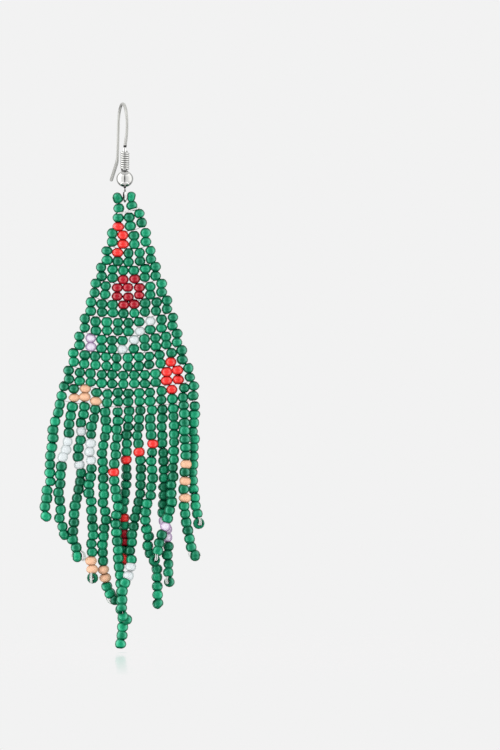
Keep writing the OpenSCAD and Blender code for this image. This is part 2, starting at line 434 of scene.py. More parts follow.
# Beadwork is never quite even. Each line moves one bead to the right and up, and tips it to the right.
Askew = namedtuple("Askew", "row column right up tip")
ASKEW = [Askew(*line) for line in (
    (1, 0, -0.1, 0, 0), (1, 1, 0.05, 0, 0), (2, 1, 0.15, 0, 0), (3, 2, -0.23, 0.07, 0), (4, 1, 0.16, 0, 0),
    (4, 2, 0.16, 0, 0), (9, 4, 0, 0.13, 0), (10, 4, 0, 0.24, 0), (11, 0, 0.15, 0.14, 0), (12, 4, 0, 0.2, 0),
    (15, 0, 0, 0.2, 0), (15, 1, 0, -0.15, 0), (16, 1, 0, -0.2, 0), (18, 6, 0, 0.2, 0),
    (20, 10, 0.17, -0.1, 0), (22, 10, 0.2, 0, 0.12), (22, 11, 0.25, -0.1, 0.15), (23, 0, 0.15, 0.1, 0.1),
    (24, 0, -0.28, 0, 0.25), (23, 2, 0, 0.27, 0), (24, 2, 0, 0.4, 0), (23, 3, 0.1, -0.2, 0),
    (23, 4, 0.1, -0.3, 0), (24, 3, 0.1, -0.2, 0), (24, 4, 0.1, -0.2, 0), (23, 11, 0.17, 0, 0),
    (24, 12, -0.23, -0.2, -0.12))]


# %% Rows of the band
def band_row(row):
    """Beads of one row, counted from 1. Odd rows are the upper ones of their pair."""
    place = pair_places((row - 1) // 2) + [0, 0, ROW_GAP / 2 if row % 2 else -ROW_GAP / 2]
    finish = np.full(len(place), "green", dtype="<U8")
    for patch in PATCHES:
        if patch.row == row:
            finish[patch.column:patch.column + patch.count] = patch.finish
    axis = np.tile([0.0, 0.0, 1.0], (len(place), 1))
    for askew in ASKEW:
        if askew.row == row:
            place[askew.column] += [askew.right, 0, askew.up]
            axis[askew.column, 0] += askew.tip
    if row > 1:
        beads = finished_beads(place, axis, finish)
        return beads._replace(length=beads.length * BAND_LONGER, square=beads.square - BAND_ROUNDER)
    axis = np.stack([np.sin(TOP_BEAD_LEAN), 0 * TOP_BEAD_LEAN, np.cos(TOP_BEAD_LEAN)], axis=1)
    beads = finished_beads(place + TOP_BEAD_SHIFT, axis, finish)
    return beads._replace(length=beads.length * TOP_BEAD_LENGTH, tone=TOP_BEAD_TONE)


band = join([band_row(row) for row in range(1, 2 * len(PAIRS) + 1)])
print("the band has", len(band.place), "beads")

# %% [markdown]
# The strings
# Each string starts under its own column of the band and hangs down freely, a little bent by its thread.
# Its route is a list of points, given as sideways, back and height from the stem line. The beads
# sit at equal steps on the smooth curve through them, the first and the last one at its ends. Where two
# strings cross, one runs in front. The last bead is the stop bead: the thread goes down past it, through
# its hole and back up, and most of the stop beads are turned on their side by that. The table says which
# way the hole of each looks, turned from the right towards the viewer and tilted up, how far it is from
# the bead above, and how light it is, from 0 to 1. Colours other than green are given by the places of
# their beads on the string, where the first bead has the place 0.

# %% String table
String = namedtuple("String", "beads colours stop route")
Stop = namedtuple("Stop", "turn tilt step tone")
STRINGS = [
    String(14, {}, Stop(0, 46, 1.74, 1), [
        [-12.4, 0, -56.9], [-13.2, 0.1, -60.1], [-13.8, 0.2, -64.3], [-14.2, 0.3, -68], [-14.3, 0.3, -71.4],
        [-14.9, 0.2, -74.7], [-15.1, 0.1, -76.3], [-14.9, 0, -78.1]]),
    String(16, {"clear": (4, 5, 6)}, Stop(0, 34, 1.62, 0.5), [
        [-9.9, 0, -57.4], [-10.6, -0.1, -60.7], [-10.8, -0.2, -64.1], [-11.1, -0.2, -65.5],
        [-11.9, -0.2, -67.2], [-12.1, -0.1, -70.3], [-12.5, 0, -74.4], [-12.1, 0.2, -78.3],
        [-11.95, 0.2, -80], [-11.55, 0.2, -81.7]]),
    String(19, {"clear": (3, 7)}, Stop(2, 0, 1.74, 1), [
        [-7.6, 0, -57.3], [-8.2, 0.1, -59.7], [-8.3, 0.2, -63.4], [-8.8, 0.3, -66.6], [-8.3, 0.4, -69.8],
        [-8.9, 0.3, -73.5], [-9.5, 0.2, -76.5], [-9.8, 0.1, -80.6], [-9.9, 0, -82.4], [-9.4, 0, -84],
        [-9.2, 0, -85.8]]),
    String(21, {"clear": (4, 5, 6), "peach": (18, 19)}, Stop(105, 0, 1.75, 0.3), [
        [-5.6, 0, -57.9], [-6.2, -0.1, -61.1], [-6.5, -0.3, -65.9], [-6.2, -0.3, -69], [-6.8, -0.3, -73.4],
        [-6.4, -0.2, -76.2], [-6.2, -0.1, -80], [-6.1, 0, -81.7], [-6.4, 0.1, -85.1], [-6.2, -0.3, -89.9]]),
    String(24, {"peach": (19, 20)}, Stop(172, 0, 1.62, 0), [
        [-3.6, 0, -58.3], [-3.6, 0, -60.5], [-3.9, 0, -64], [-4.3, 0, -66.8], [-3.9, 0.1, -71.9],
        [-3.9, 0.1, -75.8], [-3.7, 0.1, -77.4], [-4.2, 0.3, -83], [-4.1, 0.5, -87], [-3.74, 0.9, -89.9],
        [-2.92, 1.5, -92.65], [-1.78, 1.6, -93.98]]),
    String(28, {"red": (7,)}, Stop(0, 84, 1.66, 1), [
        [-1.3, -0.1, -58.3], [-1.5, -0.2, -62.4], [-1.8, -0.4, -66], [-2, -0.5, -70.5], [-1.4, -0.6, -75.6],
        [-1.7, -0.6, -79], [-1.4, -0.6, -83], [-1, -0.4, -87.7], [-0.75, 0.2, -91.2], [-0.5, 0.45, -93.8],
        [-0.68, 0.55, -96.2], [-0.5, 0.5, -100.4], [-0.9, 0.3, -102.4]]),
    String(19, {"red": (6, 13, 18), "crimson": (15, 16)}, Stop(0, 15, 1.6, 1), [
        [0.9, 0.1, -58], [0.5, 0.2, -61.8], [0.2, 0.5, -66], [0.3, 0.8, -69.8], [0, 1, -73.5],
        [-0.3, 1.2, -78.3], [-0.1, 1.2, -81.4], [-0.2, 1, -83.5], [0.02, 0.6, -86.3]]),
    String(27, {"red": (5,), "clear": (19, 20)}, Stop(150, 10, 1.56, 0.5), [
        [2.9, 0, -58], [2.5, 0, -62], [2.6, 0.1, -66], [3, 0.2, -68.5], [3, 0.2, -72], [2.7, 0.3, -75.2],
        [1.6, 0.1, -80.4], [1.1, -0.3, -84.2], [1.2, -0.8, -87], [0.7, -1.2, -89.4], [-0.4, -1.6, -92],
        [-0.4, -1.7, -95], [-0.3, -1.8, -97], [0.3, -0.6, -97.8]]),
    String(24, {"red": (4,)}, Stop(172, 46, 1.66, 0.45), [
        [5.1, 0, -57.9], [4.9, 0, -60.4], [5.2, -0.1, -64], [5, -0.2, -69], [5, -0.3, -73.2],
        [4.4, -0.5, -75.6], [3.8, -0.5, -78.6], [4.4, 0.3, -82], [4.8, 0.7, -85], [5.5, 1, -86.6],
        [6.2, 1.1, -88.4], [6.2, 0.8, -92], [6.4, 0.6, -94.7]]),
    String(21, {"lilac": (13, 14, 15)}, Stop(115, 0, 1.80, 0.3), [
        [7.2, 0, -57.8], [7.2, 0.1, -62], [7.2, 0.3, -65], [7.5, 0.5, -70], [7.4, 0.7, -75],
        [7.1, 0.9, -77.4], [8.2, 0.9, -81.4], [8.2, 0.6, -84.5], [8.2, 0.3, -88], [8.3, 0.2, -90.6]]),
    String(19, {"lilac": (14,)}, Stop(75, 10, 1.92, 0.5), [
        [9.3, 0, -57.6], [9.3, -0.1, -62.4], [9.3, -0.3, -67], [9.2, -0.5, -70], [8.8, -0.7, -73],
        [8.9, -0.9, -75.3], [8.2, -1.1, -78.4], [7.1, -1.1, -81.4], [6.2, -1.1, -84.6], [5.6, -1.1, -86.5]]),
    String(19, {"peach": (7, 9, 11)}, Stop(165, 0, 1.76, 0.3), [
        [11.2, -0.3, -57.1], [11.4, -0.5, -61.1], [11.5, -0.8, -64.5], [11.7, -0.8, -67.5],
        [11.6, -0.8, -69.8], [11.3, -0.6, -73], [11.2, -0.5, -76.8], [12, -0.3, -80.8],
        [12.6, -0.3, -83.9], [13.3, -0.4, -85.6]]),
    String(15, {}, Stop(75, 5, 1.83, 0.8), [
        [13.1, 0.2, -57.2], [13.1, 0.4, -60.4], [13, 0.6, -64.4], [12.9, 0.7, -68], [13, 0.6, -71.5],
        [13.2, 0.4, -74.6], [13.6, 0.3, -77.4], [14, 0.2, -79.5]])]

# %% String beads
# Sideways the strings' beads stray further, and they are squarer and narrower than their colour's usual
STRING_STRAY = 0.1
STRING_SQUARER = 0.15
STRING_NARROWER = 0.97
# A bead's length follows its string's step, and by this share it is a little long for it
BEAD_REST = 1.02
# How much lighter the beads of each string are made, and below nothing how much darker
STRING_TONE = [0.15, -0.15, -0.2, -0.1, 0, 0, -0.1, -0.2, 0, -0.2, -0.15, -0.15, 0.2]
# Painted light from the pale paper below: towards the lowest tip the beads get lighter, between these two
# heights and by this much
TIP_HEIGHTS = (-94, -84)
TIP_TONE = 0.3


def band_foot(number):
    """The lower edge of the band under one column, where its string starts."""
    return pair_places(len(PAIRS) - 1)[number] - [0, 0, ROW_GAP]


def string_beads(number):
    """Beads at equal steps along the string, and the stop bead at its own step and turn."""
    string = STRINGS[number]
    route = smooth_route(string.route)
    length = route_lengths(route)[-1]
    distances = np.append(np.linspace(0, length - string.stop.step, string.beads - 1), length)
    place, axis = walk(route, distances)
    turn, tilt = np.radians(string.stop[:2])
    axis[-1] = [np.cos(turn) * np.cos(tilt), -np.sin(turn) * np.cos(tilt), np.sin(tilt)]
    finish = np.full(string.beads, "green", dtype="<U8")
    for colour, spots in string.colours.items():
        finish[list(spots)] = colour
    beads = finished_beads(place, axis, finish, STRING_STRAY)
    step = distances[1] - distances[0]
    beads.length[:-1] *= step * BEAD_REST / ROW_GAP
    beads.width[:-1] *= STRING_NARROWER
    beads.square[:-1] += STRING_SQUARER
    beads.tone[:-1] += STRING_TONE[number] + np.interp(place[:-1, 2], TIP_HEIGHTS, [TIP_TONE, 0])
    beads.tone[-1] = string.stop.tone
    return beads, step


strings = []
for number in range(len(STRINGS)):
    beads, step = string_beads(number)
    strings.append(beads)
    print("string %2d has %d beads, %.2f mm apart" % (number + 1, len(beads.place), step))

# %% [markdown]
# Nodes in code
# A finish in Blender is a tree of nodes, and a link takes the output of one node to the input of another.
# Each helper below adds a node, fills its inputs and hands on its output. So a finish is written like a sum,
# where what one helper gives goes into the next.

# %% Nodes and links
def connect(tree, node, inputs):
    """Each input, by its name or number, is linked where a socket is given and set where a value is."""
    for place, value in inputs.items():
        if isinstance(value, bpy.types.NodeSocket):
            tree.links.new(value, node.inputs[place])
        else:
            node.inputs[place].default_value = value
    return node


def add_node(tree, kind, inputs=None):
    """A new node of this kind with these inputs."""
    return connect(tree, tree.nodes.new("ShaderNode" + kind), inputs or {})


def empty_tree(owner, output):
    """The emptied nodes of a material or world, and its new output."""
    owner.use_nodes = True
    tree = owner.node_tree
    tree.nodes.clear()
    return tree, add_node(tree, output)


def new_material(name):
    """A material with one shader, its nodes and the shader."""
    material = bpy.data.materials.new(name)
    tree, output = empty_tree(material, "OutputMaterial")
    shader = add_node(tree, "BsdfPrincipled")
    connect(tree, output, {"Surface": shader.outputs["BSDF"]})
    return material, tree, shader


# %% Values from the mesh and from noise
def attribute_node(tree, name, output):
    """The value that a mesh carries under this name."""
    node = add_node(tree, "Attribute")
    node.attribute_name = name
    return node.outputs[output]


def object_place(tree):
    """The place of each point on its object."""
    return add_node(tree, "TexCoord").outputs["Object"]


def noise_node(tree, vector, scale, detail=2.0):
    """Noise at the given points, from 0 to 1."""
    return add_node(tree, "TexNoise", {"Vector": vector, "Scale": scale, "Detail": detail}).outputs["Fac"]


def mapped(tree, vector, scale):
    """The points stretched by a scale for each direction."""
    return add_node(tree, "Mapping", {"Vector": vector, "Scale": scale}).outputs["Vector"]


# %% Values, colours and shaders mixed
def ranged(tree, value, low, high, new_low, new_high):
    """A value moved from one range to another, and held inside it."""
    limits = {"From Min": low, "From Max": high, "To Min": new_low, "To Max": new_high}
    return add_node(tree, "MapRange", {"Value": value, **limits}).outputs["Result"]


def calculated(tree, way, first, second):
    """What a Math node makes of two values."""
    node = add_node(tree, "Math", {0: first, 1: second})
    node.operation = way
    return node.outputs["Value"]


def blended(tree, share, first, second):
    """Two values mixed by a share."""
    return add_node(tree, "Mix", {0: share, 2: first, 3: second}).outputs[0]


def mixed(tree, share, first, second, way="MIX"):
    """Two colours mixed by a share. A colour is a socket or three numbers."""
    first, second = (
        colour if isinstance(colour, bpy.types.NodeSocket) else (*colour, 1) for colour in (first, second))
    node = add_node(tree, "Mix")
    node.data_type = "RGBA"
    node.blend_type = way
    return connect(tree, node, {0: share, 6: first, 7: second}).outputs[2]


def layered(tree, share, first, second):
    """Two shaders mixed by a share."""
    return add_node(tree, "MixShader", {0: share, 1: first, 2: second}).outputs["Shader"]


def bumped(tree, shader, height, depth):
    """Fine relief of the given depth in millimetres."""
    bump = add_node(tree, "Bump", {"Height": height, "Distance": depth * MM})
    connect(tree, shader, {"Normal": bump.outputs["Normal"]})


# %% [markdown]
# Finishes of the glass
# The green beads are satin glass: they are drawn with fine threads of air in them, so they shine softly
# in streaks along the hole. The rim of each bead is painted darker by a Layer Weight node: partly the look
# of glass, where the eye looks through the most of it, and partly painted shade at the bead's outline. The
# same node lets the gloss rise towards the sides, as it does on glass. The belly of a bead shines and its
# cut ends are dull and get painted shade, the shade where the beads meet, which the bead_belly attribute
# brings. Every bead is a little lighter or darker than the next, by its bead_tone, and the streaks are
# noise that is stretched along the hole. Clear and lilac beads let light through, so the inside of their
# hole shows in a colour of its own, by the bead_hole attribute, and a weak painted glow, an emission in the
# bead's own colour, stands for the light that comes through it and lifts its shaded parts.

# %% Glass of the beads
# Noise lies mostly between these two
NOISE_SPAN = (0.3, 0.7)
STREAK_STRETCH = (2.4, 2.4, 0.6)
STREAK_SCALE = 1.6
STREAK_DETAIL = 3.0
# Painted shade at the cut ends, where the beads meet: they keep this share of their light, and all of it comes
# back at this much of the belly
END_PAINTED_SHADE = 0.45
END_BELLY = 0.4
# The gloss rises to full between these two turns away from the eye, and is gone on this much of the rim
SIDE_LIGHT = (0.03, 0.18)
FULL_GLOSS = 0.5
RIM_DULL = 0.8
# By this share the streaks are rougher or smoother
ROUGH_SPREAD = 0.15
# With this blend, Facing is 0 where the surface looks at the eye and 1 at its outline
EVEN_WEIGHT = 0.5
# From deep to light is the colour from bead to bead. The rim's colour is painted shade at the outline, partly
# the look of the glass, and it comes in between its start and end.
# The core_gloss is the gloss of the calm middle, gloss its tint and gloss_index its strength. Streaks are
# given as a share of the colour and as relief in millimetres. A clear glass has the share of light that it
# lets through, the colour inside its hole, and the strength of its glow, which is painted light.
Glass = namedtuple("Glass", (
    "deep light rim rim_start rim_end core_gloss gloss gloss_index roughness streak relief clear hole glow"),
    defaults=(0.0, 0.0, None, 0.0))


def bead_glass(name, glass):
    """Glass of one colour: deep to light from bead to bead, streaked, with painted shade at its cut ends and
    its rim.

    Where the glass has a colour for the hole, that shows inside it, and the cut ends get no painted shade. The
    gloss is the product of three: more at the sides, less on the rim, and none at the cut ends.
    """
    material, tree, shader = new_material(name)
    local = attribute_node(tree, "bead_local", "Vector")
    belly = attribute_node(tree, "bead_belly", "Fac")
    streak = noise_node(tree, mapped(tree, local, STREAK_STRETCH), STREAK_SCALE, STREAK_DETAIL)
    shade = ranged(tree, streak, *NOISE_SPAN, 1 - glass.streak, 1 + glass.streak)
    # Painted shade: the cut ends, where the beads meet, are darkened
    if not glass.hole:
        shade = calculated(tree, "MULTIPLY", shade, ranged(tree, belly, 0.0, END_BELLY, END_PAINTED_SHADE, 1.0))
    grey = add_node(tree, "CombineColor", dict.fromkeys(("Red", "Green", "Blue"), shade)).outputs["Color"]
    colour = mixed(tree, attribute_node(tree, "bead_tone", "Fac"), glass.deep, glass.light)
    colour = mixed(tree, 1.0, colour, grey, "MULTIPLY")
    if glass.hole:
        colour = mixed(tree, attribute_node(tree, "bead_hole", "Fac"), colour, glass.hole)
    facing = add_node(tree, "LayerWeight", {"Blend": EVEN_WEIGHT}).outputs["Facing"]
    # Painted shade: towards the outline the colour turns to the rim colour, partly the look of the glass and
    # partly shade
    edge = ranged(tree, facing, glass.rim_start, glass.rim_end, 0.0, 1.0)
    colour = mixed(tree, edge, colour, glass.rim)
    sides = ranged(tree, facing, *SIDE_LIGHT, glass.core_gloss, FULL_GLOSS)
    inside = ranged(tree, edge, 0.0, RIM_DULL, 1.0, 0.0)
    level = calculated(tree, "MULTIPLY", calculated(tree, "MULTIPLY", sides, inside), belly)
    rough_span = [glass.roughness * (1 - ROUGH_SPREAD), glass.roughness * (1 + ROUGH_SPREAD)]
    connect(tree, shader, {
        "Base Color": colour, "Specular IOR Level": level, "Specular Tint": (*glass.gloss, 1),
        "Roughness": ranged(tree, streak, *NOISE_SPAN, *rough_span), "IOR": glass.gloss_index,
        "Transmission Weight": glass.clear})
    # Painted light: a weak emission in the bead's own colour lifts its shaded parts
    if glass.glow:
        connect(tree, shader, {"Emission Color": colour, "Emission Strength": glass.glow})
    if glass.relief:
        bumped(tree, shader, streak, glass.relief)
    return material


# %% Finishes
FINISHES = {
    "green": bead_glass("satin_green_glass", Glass(
        deep=(0.004, 0.070, 0.031), light=(0.010, 0.230, 0.110), rim=(0.0, 0.066, 0.030), rim_start=0.34,
        rim_end=0.80, core_gloss=0.02, gloss=(0.2, 0.76, 0.57), gloss_index=2.1, roughness=0.18, streak=0.2,
        relief=0.006)),
    "red": bead_glass("bright_red_glass", Glass(
        deep=(0.58, 0.022, 0.020), light=(0.73, 0.036, 0.032), rim=(0.28, 0.0, 0.003), rim_start=0.45,
        rim_end=0.85, core_gloss=0.03, gloss=(1.0, 0.7, 0.66), gloss_index=1.8, roughness=0.22, streak=0.06,
        relief=0.004)),
    "crimson": bead_glass("crimson_glass", Glass(
        deep=(0.24, 0.006, 0.013), light=(0.34, 0.010, 0.021), rim=(0.06, 0.0, 0.004), rim_start=0.35,
        rim_end=0.8, core_gloss=0.03, gloss=(1.0, 0.5, 0.52), gloss_index=2.0, roughness=0.22, streak=0.14,
        relief=0.004)),
    "clear": bead_glass("frosted_clear_glass", Glass(
        deep=(0.46, 0.49, 0.50), light=(0.50, 0.54, 0.55), rim=(0.38, 0.41, 0.41), rim_start=0.25,
        rim_end=0.95, core_gloss=0.25, gloss=(1.0, 1.0, 1.0), gloss_index=1.5, roughness=0.15, streak=0.06,
        clear=0.12, hole=(0.74, 0.77, 0.77), glow=0.18)),
    "lilac": bead_glass("lilac_glass", Glass(
        deep=(0.64, 0.59, 0.67), light=(0.70, 0.65, 0.73), rim=(0.36, 0.24, 0.40), rim_start=0.1,
        rim_end=0.5, core_gloss=0.15, gloss=(1.0, 1.0, 1.0), gloss_index=1.5, roughness=0.2, streak=0.04,
        clear=0.3, hole=(0.32, 0.12, 0.45), glow=0.12)),
    "peach": bead_glass("peach_glass", Glass(
        deep=(0.60, 0.345, 0.222), light=(0.63, 0.37, 0.24), rim=(0.56, 0.28, 0.14), rim_start=0.55,
        rim_end=0.95, core_gloss=0.3, gloss=(1.0, 0.9, 0.8), gloss_index=1.45, roughness=0.35, streak=0.08,
        relief=0.006))}
print("bead finishes:", ", ".join(FINISHES))


# %% Beadwork pieces
def dress(name, beads, finish, stands_for=None):
    """The beads of one colour as a piece that hangs with the drop."""
    chosen = beads.finish == finish
    piece = make_beads(name, pick(beads, chosen))
    piece.data.materials.append(FINISHES[finish])
    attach(piece, "drop")
    if stands_for:
        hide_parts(stands_for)
    print("%s: %d beads" % (name, chosen.sum()))


for finish in FINISHES:
    dress("band_" + finish, band, finish, "bead_panel" if finish == "green" else None)
for number, beads in enumerate(strings):
    dress("string_%02d_green" % (number + 1), beads, "green", "strand_%02d" % (number + 1))
fringe = join(strings)
for finish in list(FINISHES)[1:]:
    dress("fringe_" + finish, fringe, finish)

# %% [markdown]
# The threads
# A clear nylon thread holds the work together. It shows as short bridges between neighbouring columns,
# where the next pair of rows hangs on it, as a line in any gap between the beads of a string, and as a
# small loop round each stop bead: out of the string, through the turned bead and back up the other side.

# %% Thread finish
THREAD_SIDES = 8
NYLON_GRAIN = 900
NYLON_ROUGH = (0.22, 0.36)
NYLON_CLEAR = 0.2
NYLON_INDEX = 1.53


def nylon(name, dark, pale):
    """Clear nylon thread, a little cloudy where fingers and needle have rubbed it."""
    material, tree, shader = new_material(name)
    cloud = noise_node(tree, object_place(tree), NYLON_GRAIN)
    connect(tree, shader, {
        "Base Color": mixed(tree, cloud, dark, pale),
        "Roughness": ranged(tree, cloud, *NOISE_SPAN, *NYLON_ROUGH),
        "Transmission Weight": NYLON_CLEAR, "IOR": NYLON_INDEX})
    return material


worked_nylon = nylon("worked_nylon", (0.46, 0.44, 0.44), (0.70, 0.68, 0.67))
clear_nylon = nylon("clear_nylon", (0.44, 0.47, 0.45), (0.68, 0.71, 0.68))


def add_thread(name, routes, width, across, finish, stands_for=None):
    """Threads of one width as a piece that hangs with the drop."""
    piece = make_tubes(name, routes, width, THREAD_SIDES, across)
    piece.data.materials.append(finish)
    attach(piece, "drop")
    if stands_for:
        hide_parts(stands_for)
    print("%s: %d lengths" % (name, len(routes)))


# %% Sizes of the threads
THREAD = 0.22
BRIDGE_THREAD = 0.15
STITCH_THREAD = 0.3
BRIDGE_STEPS = 9
BRIDGE_SAG = 0.16
BRIDGE_GAP = 0.02
STRING_THREAD_STEPS = 90
STITCH_STEPS = 30
FORWARD = (0.0, 1.0, 0.0)


# %% Routes of the threads
def bridge_routes():
    """Arcs from hole to hole under the lower row of each pair: sag 4 t (1 - t) below the straight line."""
    t = np.linspace(0, 1, BRIDGE_STEPS)[:, None]
    sag = BRIDGE_SAG * 4 * t * (1 - t) * [0, 0, -1]
    routes = []
    for number in range(len(PAIRS)):
        feet = pair_places(number) - [0, 0, ROW_GAP + BRIDGE_GAP]
        routes += [from_stem(a + (b - a) * t + sag) for a, b in zip(feet[:-1], feet[1:])]
    return routes


def column_routes():
    """A straight thread through each column of each pair below the first."""
    reach = np.array([[0, 0, ROW_GAP], [0, 0, -ROW_GAP]])
    return [from_stem(place + reach) for number in range(1, len(PAIRS)) for place in pair_places(number)]


def string_thread(number):
    """The thread of one string, from the band to the middle of its stop bead."""
    route = smooth_route([band_foot(number), *STRINGS[number].route])
    return from_stem(walk(route, np.linspace(0, route_lengths(route)[-1], STRING_THREAD_STEPS))[0])


# %% Thread pieces
# The working thread that fastens the second pair shows in front of the top pair's right column
FRONT_STITCH = [
    [-1.4, -0.55, -20.6], [-0.4, -0.7, -20.45], [0.6, -0.95, -20.2], [1.75, -1.0, -19.85], [2.9, -0.7, -19.5]]
add_thread("band_bridges", bridge_routes(), BRIDGE_THREAD, FORWARD, worked_nylon)
add_thread("band_columns", column_routes(), THREAD, FORWARD, worked_nylon)
front_stitch = smooth_route(from_stem(FRONT_STITCH), STITCH_STEPS)
add_thread("front_stitch", [front_stitch], STITCH_THREAD, FORWARD, worked_nylon)
string_threads = [string_thread(number) for number in range(len(STRINGS))]
add_thread("string_threads", string_threads, THREAD, FORWARD, worked_nylon)

# %% [markdown]
# The loops of the stop beads
# Where a stop bead is turned, its thread shows. It comes out of the string, stands off the bead's end,
# hangs down a little and goes into the hole, and behind the bead it goes back up. On some beads one turn
# shows, on others two lie side by side as a strip. Each line of the table gives a string, where the first
# is 0, how far the loop stands off, how much further its second turn does, how far it hangs below the hole
# as a share of the bead's half width, and how far apart its two turns are sideways, or nothing for a
# single turn.

# %% Thread loops of the stop beads
Loop = namedtuple("Loop", "string off wider droop apart")
LOOPS = [Loop(*line) for line in (
    (2, 0.20, 0.26, 0.75, 0.1), (3, 0.06, 0, 0.80, 0.24), (4, 0.05, 0.38, 0.70, 0.1), (7, 0.25, 0, 0.30, 0.2),
    (9, 0.06, 0, 0.35, 0.26), (10, 0.06, 0, 0.15, 0.32), (11, 0.10, 0, 0.50, 0), (12, 0.06, 0, 0.30, 0.26))]
# How far the thread stands off where it goes back up behind the bead
FAR_OFF = 0.08
LOOP_THREAD = 0.22
LOOP_STEPS = 56
# The way of a loop from the string down beside the bead's end and into its hole. Each line is a point: up,
# as a share of the bead's half width, down, as a share of the droop, out, as a share of the bead's half
# length, and off, as a share of how far the loop stands off the bead's end.
LOOP_WAY = np.array([
    [1.15, 0, 0, 0], [0.95, 0, 0.7, 0.5], [0.5, 0, 1, 1], [0, 0.6, 1, 1], [0, 1, 1, 0.4], [0, 0, 0.6, 0]])


def loop_side(last, rise, way, half, reach, stand_off, droop):
    """last + reach (up - down droop) rise + (out half + off stand_off) way, for each line of the table."""
    up, down, out, off = LOOP_WAY.T[:, :, None]
    return last + reach * (up - down * droop) * rise + (out * half + off * stand_off) * way


# %% Loop pieces
def stop_loop(loop, side):
    """Thread from the string down one end of the stop bead, through its hole and up the other end."""
    beads = strings[loop.string]
    last, before = beads.place[-1], beads.place[-2]
    way = unit(beads.axis[-1])
    rise = unit(unit(before - last) + [0, 0, 1])
    half = beads.length[-1] / 2
    reach = beads.width[-1] / 2
    off = loop.off + LOOP_THREAD / 2 + loop.wider * (side + 0.5)
    near = loop_side(last, rise, way, half, reach, off, loop.droop)
    far = loop_side(last, rise, -way, half, reach, FAR_OFF, 0.0)
    about = unit(np.cross(way, [0, 0, 1]))
    return smooth_route([*near, last, *far[::-1]], LOOP_STEPS) + about * loop.apart * side


for loop in LOOPS:
    about = unit(np.cross(strings[loop.string].axis[-1], [0, 0, 1]))
    turns = [stop_loop(loop, side) for side in ([-0.5, 0.5] if loop.apart else [0])]
    add_thread("stop_loop_%02d" % (loop.string + 1), turns, LOOP_THREAD, about, clear_nylon)

# %% [markdown]
# The thread in the eye
# All the beadwork hangs on two turns of clear thread that pass through the eye of the ear wire. They run
# nearly level from one top bead to the other, a little higher at their ends, so each is a tube along a
# smooth route of five points. It is thin enough to stay clear of the wire while the drop swings.

# %% Thread through the eye
EYE_THREAD = 0.2
EYE_THREAD_STEPS = 40
TURN_DEPTHS = (-0.1, 0.1)
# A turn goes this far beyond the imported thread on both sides, and its five points stand this much higher
TURN_BEYOND = 0.7
TURN_RISES = np.array([0.12, 0.03, 0, 0.03, 0.2])
thread_half = (thread_high[0] - thread_low[0]) / 2
turn_places = thread_half * np.array([-1, -1, 0, 1, 1]) + TURN_BEYOND * np.array([-1, 0, 0, 0, 1])
passes = []
for depth in TURN_DEPTHS:
    corners = np.stack([turn_places, np.full(len(turn_places), depth), thread_z + TURN_RISES], axis=1)
    passes.append(smooth_route(from_stem(corners), EYE_THREAD_STEPS))
add_thread("eye_thread", passes, EYE_THREAD, FORWARD, clear_nylon, "hanging_thread")

# %% [markdown]
# The metal
# The ear wire is one length of drawn steel, bent on a jig: a tail, a straight back leg, the arch that
# goes through the ear, a bend into the upright stem, and the eye at its foot. All of these lie in one
# standing plane, so the wire is drawn there as arcs and lines, as distance back and height, and each bend
# has the radius and the angle of the imported part. The tube along that line is smooth, where the imported wire
# is a chain of short pieces. The hook is brushed to a satin grey, while the stem and the eye keep the
# bright finish of the ball, so one attribute tells the material how bright the wire is at each point.
# Another paints dark reflections and shade into its colour: at a spot on the front bend, where the bright stem
# starts, at the neck under the ball, on the inside of the eye, and along a faint line of the stem.

# %% Metal finishes
METAL_GRAIN = 300
METAL_WEAR = (0.8, 1.25)
SCRATCH_GRAIN = 9000
# The colour of the painted dark reflections and shade on the ear wire
PAINTED_DARK_COLOUR = (0.02, 0.02, 0.02)
Metal = namedtuple("Metal", "roughness colour shade scratch", defaults=(None, 0.0))


def metal(name, steel, bright=None):
    """Steel whose gloss and tint change a little from place to place, from its shade to its colour.

    Where a brighter steel is given, the bright attribute mixes it in, and a second attribute paints dark
    reflections and shade into the tint.
    """
    material, tree, shader = new_material(name)
    place = object_place(tree)
    wear = noise_node(tree, place, METAL_GRAIN)
    tint = mixed(tree, wear, steel.shade, steel.colour)
    rough = ranged(tree, wear, *NOISE_SPAN, *(steel.roughness * share for share in METAL_WEAR))
    if bright:
        share = attribute_node(tree, "bright", "Fac")
        tint = mixed(tree, share, tint, bright.colour)
        tint = mixed(tree, attribute_node(tree, "painted_dark", "Fac"), tint, PAINTED_DARK_COLOUR)
        rough = blended(tree, share, rough, bright.roughness)
    connect(tree, shader, {"Base Color": tint, "Roughness": rough, "Metallic": 1.0})
    if steel.scratch:
        bumped(tree, shader, noise_node(tree, place, SCRATCH_GRAIN), steel.scratch)
    return material


# %% Steels
BRIGHT_STEEL = Metal(0.12, (0.47, 0.47, 0.46))
wire_steel = metal("drawn_steel", Metal(0.40, (0.26, 0.26, 0.248), (0.245, 0.245, 0.233)), BRIGHT_STEEL)
coil_steel = metal("bright_steel", Metal(0.12, (0.38, 0.38, 0.37), (0.35, 0.35, 0.34), 0.0003))
ball_steel = metal("polished_steel", Metal(0.06, (0.34, 0.34, 0.33), (0.32, 0.32, 0.31)))


def add_metal(piece, finish, stands_for):
    """Puts a metal piece on the hook in place of a packed one."""
    piece.data.materials.append(finish)
    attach(piece, "hook")
    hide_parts(stands_for)


